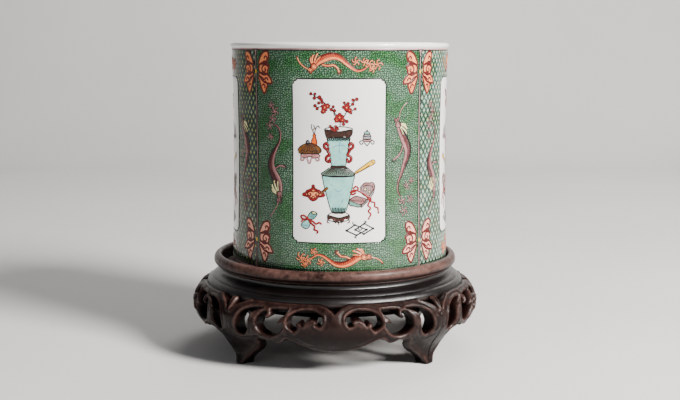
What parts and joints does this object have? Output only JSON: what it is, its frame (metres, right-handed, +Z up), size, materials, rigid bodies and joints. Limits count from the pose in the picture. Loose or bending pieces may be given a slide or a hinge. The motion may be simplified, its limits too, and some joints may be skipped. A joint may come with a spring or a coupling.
{
  "type": "brush holder pot",
  "caption": "Straight-sided decorated porcelain brush pot that stands in the dish of a pierced and carved round hardwood stand.",
  "frame": {"origin": "on the stand's axis, at the level of the surface its feet stand on", "axes": "+Z up; the pot's front panel and the middle of one apron face -Y; the legs are on the diagonals"},
  "size_m": [0.2318, 0.2318, 0.246],
  "materials": {
    "porcelain": "clear glossy glaze over white porcelain, painted in enamels",
    "stand_wood": "dark waxed hardwood, polished on the high edges",
    "dowel_bamboo": "plain whittled bamboo"
  },
  "bodies": {
    "stand": {"seat_rim": "stand_wood", "seat_board": "stand_wood", "board_batten": "stand_wood", "neck_moulding": "stand_wood", "carved_quarter_front": "stand_wood", "carved_quarter_right": "stand_wood", "carved_quarter_back": "stand_wood", "carved_quarter_left": "stand_wood", "leg_tongue_front_right": "stand_wood", "leg_tongue_back_right": "stand_wood", "leg_tongue_back_left": "stand_wood", "leg_tongue_front_left": "stand_wood", "moulding_dowels": "dowel_bamboo"},
    "pot": {"brush_pot": "porcelain"}
  },
  "joints": [
    {"name": "pot_lift", "type": "slide", "parent": "stand", "child": "pot", "axis": [0, 0, 1], "range_m": [0, 0.05]}
  ]
}
